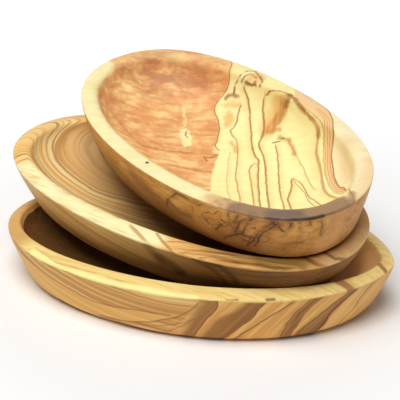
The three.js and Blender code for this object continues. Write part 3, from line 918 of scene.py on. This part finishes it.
# Reach, edge, cover, colour and course of each mark
PALE_EDGE = (
    (6.0, 5.0, 0.9, "FFF6BA", ((-93, -8, 33), (-80, -30, 33), (-40, -51, 33), (0, -55, 33), (44, -49, 33))),
    (6.0, 8.0, 0.45, "F0C48C", ((96, 6, 33), (92, 20, 33), (80, 36, 33))),
)
DARK_EDGE = (
    (6.0, 7.0, 0.8, "E2AC74", ((49, -47.5, 33.5), (57, -46, 33.5))),
    (8.5, 5.0, 0.95, "9A7454", (
        (65, -42, 33.5), (73, -37, 33.5), (80, -30, 33.5), (86, -22, 33.5), (91, -13, 33.5), (92.5, -5, 33.5),
    )),
    (4.5, 6.0, 0.75, "6E5A52", ((77, -33, 33.5), (84, -25, 33.5))),
)
SCORCH = (
    (0.5, 0.8, 0.8, "4E382A", ((55, -49, 33), (64, -45.5, 33), (70, -42.5, 33), (76, -39, 33))),
    (1.1, 1.6, 0.9, "241A14", ((76, -38.5, 33), (83, -32.5, 32.5), (89, -24.5, 32.2), (93, -15, 32.2))),
    (0.5, 0.8, 0.7, "4E382A", ((93, -15, 32.5), (95.5, -8, 33))),
    (0.9, 0.8, 0.95, "2A180A", ((1, -52, 33.8),)),
    (2.0, 2.5, 0.6, "8A5A3C", ((90, 8, 33.5), (94, 4, 33))),
)
# The middle of the speckled run of the scorched rim
DARK_RUN = ((56, -46, 33), (72, -38, 33), (85, -25, 33))
print(len(PALE_EDGE + DARK_EDGE + SCORCH), "marks on the small bowl's rim")


def small_rim(tree, colour, point, place, turned, z, facing, mottle):
    """Pale rim on the left, scorched and speckled on the right, with dark strokes on its outer edge."""
    rim = rim_mask(tree, z, facing, SMALL_RIM)
    upward = add(tree, "ShaderNodeMapRange", facing, *TOPSIDE)
    colour = marked(tree, colour, warped(tree, point, size=5, depth=1.5), PALE_EDGE, upward)
    tint = add(tree, "ShaderNodeMapRange", fibres(tree, turned, length=16, breadth=5), 0.45, 0.7)
    tint = add(tree, "ShaderNodeMath", tint, rim, operation="MULTIPLY")
    colour = painted(tree, colour, (tint, 0.4, "F0CE8A"))
    colour = marked(tree, colour, warped(tree, point, size=8, depth=3), DARK_EDGE, rim)
    speckle = add(tree, "ShaderNodeMapRange", mottle, 0.5, 0.62)
    scorched = near(tree, away_from(tree, point, DARK_RUN), reach=7, edge=5)
    speckle = add(tree, "ShaderNodeMath", speckle, scorched, operation="MULTIPLY")
    speckle = add(tree, "ShaderNodeMath", speckle, rim, operation="MULTIPLY")
    colour = painted(tree, colour, (speckle, 0.5, "74503C"))
    return marked(tree, colour, place, SCORCH)


# %% Figured olive wood
MOTTLE_SIZE = 14


def figured_olive_wood(matrix):
    """The small bowl's wood: the drawn figure inside, the veins outside, and the rim over both."""
    material, tree, point, facing = start_wood("olive wood, figured", matrix)
    place = warped(tree, warped(tree, point, size=9, depth=0.9), size=2.5, depth=0.3)
    turned = add(tree, "ShaderNodeMapping", place, None, (0, 0, FIGURE_TURN))
    z = add(tree, "ShaderNodeSeparateXYZ", point).node.outputs["Z"]
    mottle = add(tree, "ShaderNodeTexNoise", place, 1 / MOTTLE_SIZE, 5.0, 0.65)
    inside = hollow_wood(tree, place, turned, mottle)
    wall = veined_wall(tree, point, z, mottle)
    outside = add(tree, "ShaderNodeMapRange", facing, *OUTWARD)
    colour = add(tree, "ShaderNodeMix", outside, inside, wall, data_type="RGBA")
    colour = small_rim(tree, colour, point, place, turned, z, facing, mottle)
    finish_wood(tree, colour, fibres(tree, turned))
    return material


# %% [markdown]
# ## Put the wood on the bowls
# The tree runs once on each sanded copy with its sizes set by socket identifier, and its result is kept as
# a plain mesh. The modifier could stay live, but a plain mesh exports as it looks. The finished bowl then
# stands for its CAD solid and rides on the same body, so it lifts out with it.

# %% Carve and finish the bowls
ROUNDING = 2
WAVE_LENGTH = 28 * MM
WAVE_DEPTH = 0.25 * MM
WOODS = {
    "large_bowl": (striped_olive_wood, "olive_wood_striped"),
    "medium_bowl": (lined_olive_wood, "olive_wood_lined"),
    "small_bowl": (figured_olive_wood, "olive_wood_figured"),
}
body_of_node = {n: body for body, nodes in frame["record"]["behaviour"]["bodies"].items() for n in nodes}
sockets = {s.name: s.identifier for s in carving.interface.items_tree if s.in_out == "INPUT"}
for seed, (name, (wood, slot)) in enumerate(WOODS.items()):
    bowl = bowls[name]
    carve = bowl.modifiers.new("carve", "NODES")
    carve.node_group = carving
    carve[sockets["Rounding"]] = ROUNDING
    carve[sockets["Wave length"]] = WAVE_LENGTH
    carve[sockets["Wave depth"]] = WAVE_DEPTH
    carve[sockets["Seed"]] = float(seed)
    carve[sockets["Wood"]] = wood(frames[name])
    evaluated = bowl.evaluated_get(bpy.context.evaluated_depsgraph_get())
    bowl.data = bpy.data.meshes.new_from_object(evaluated)
    bowl.modifiers.clear()
    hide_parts(name)
    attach(bowl, body_of_node[name])
    bowl.data.calc_loop_triangles()
    print(bowl.name, len(bowl.data.loop_triangles), "triangles,", [m.name for m in bowl.data.materials])

# %% [markdown]
# ## Floor, light and camera
# The bowls stand on a plain white floor. More light could make it white, but that would bleach the wood.
# Instead, Light Path lifts the floor to white for the camera and for reflections alone. The lift grows away
# from the bowls, so the shadow round them stays. One wide lamp above and in front of the bowls and a pale
# sky give the soft light of a light tent. The camera's place and lens are those that fit the photograph.

# %% Rays that reach the eye


def seen_rays(tree):
    """1 for rays from the camera and for reflected or transmitted ones, 0 for those that light the wood."""
    rays = tree.nodes.new("ShaderNodeLightPath").outputs
    seen = add(tree, "ShaderNodeMath", rays["Is Camera Ray"], rays["Is Glossy Ray"], operation="MAXIMUM")
    return add(tree, "ShaderNodeMath", seen, rays["Is Transmission Ray"], operation="MAXIMUM")


# %% Floor
FLOOR_SIZE = 6.0
FLOOR_LIFT = 0.4
# The lift starts and is full at these distances from the middle of the floor, in metres
LIFT_FROM = 0.11
LIFT_TO = 0.4
half = FLOOR_SIZE / 2
corners = [(-half, -half, 0), (half, -half, 0), (half, half, 0), (-half, half, 0)]
floor_mesh = bpy.data.meshes.new("floor")
floor_mesh.from_pydata(corners, [], [(0, 1, 2, 3)])
floor = bpy.data.objects.new("floor", floor_mesh)
bpy.context.scene.collection.objects.link(floor)
# Matt paper: an even white without any mirror image
paper = bpy.data.materials.new("white paper")
paper.use_nodes = True
tree = paper.node_tree
tree.nodes.clear()
spot = tree.nodes.new("ShaderNodeTexCoord").outputs["Object"]
away = add(tree, "ShaderNodeVectorMath", spot, operation="LENGTH")
lift = add(tree, "ShaderNodeMapRange", away, LIFT_FROM, LIFT_TO, 0.0, FLOOR_LIFT)
lift = add(tree, "ShaderNodeMath", seen_rays(tree), lift, operation="MULTIPLY")
matt = add(tree, "ShaderNodeBsdfDiffuse", linear("FAFAFA"))
glow = add(tree, "ShaderNodeEmission", linear("FFFFFF"), lift)
both = add(tree, "ShaderNodeAddShader", matt, glow)
add(tree, "ShaderNodeOutputMaterial", both)
floor_mesh.materials.append(paper)
print("floor", FLOOR_SIZE, "m wide, lifted by up to", FLOOR_LIFT)

# %% Light
SKY = 0.15
LAMP_WATTS = 50
LAMP_SIZE = 1.4
LAMP_PLACE = (-0.15, -0.75, 2.2)
world = bpy.data.worlds.new("pale sky")
bpy.context.scene.world = world
world.use_nodes = True
sky = world.node_tree
sky.nodes.clear()
strength = add(sky, "ShaderNodeMapRange", seen_rays(sky), 0.0, 1.0, SKY, 1.0)
add(sky, "ShaderNodeOutputWorld", add(sky, "ShaderNodeBackground", linear("FFFFFF"), strength))

lamp = bpy.data.objects.new("overhead lamp", bpy.data.lights.new("overhead lamp", "AREA"))
lamp.data.energy = LAMP_WATTS
lamp.data.size = LAMP_SIZE
lamp.location = LAMP_PLACE
lamp.rotation_mode = "QUATERNION"
lamp.rotation_quaternion = (-lamp.location).to_track_quat("-Z", "Y")
bpy.context.scene.collection.objects.link(lamp)
bpy.context.scene.view_settings.view_transform = "Standard"
print("sky at", SKY, "and a lamp of", LAMP_WATTS, "W")

# %% Camera
AZIMUTH = math.radians(15.63)
ELEVATION = math.radians(27.28)
DISTANCE = 718 * MM
TARGET = Vector((0, 5.7, 50.6)) * MM
LENS = 117.5
SENSOR = 36
back = Vector(
    (
        math.sin(AZIMUTH) * math.cos(ELEVATION),
        -math.cos(AZIMUTH) * math.cos(ELEVATION),
        math.sin(ELEVATION),
    )
)
camera = bpy.data.objects.new("camera", bpy.data.cameras.new("camera"))
camera.data.lens = LENS
camera.data.sensor_width = SENSOR
camera.location = TARGET + back * DISTANCE
camera.rotation_mode = "QUATERNION"
camera.rotation_quaternion = (-back).to_track_quat("-Z", "Y")
bpy.context.scene.collection.objects.link(camera)
bpy.context.scene.camera = camera
print("camera at", [round(v / MM) for v in camera.location], "mm")
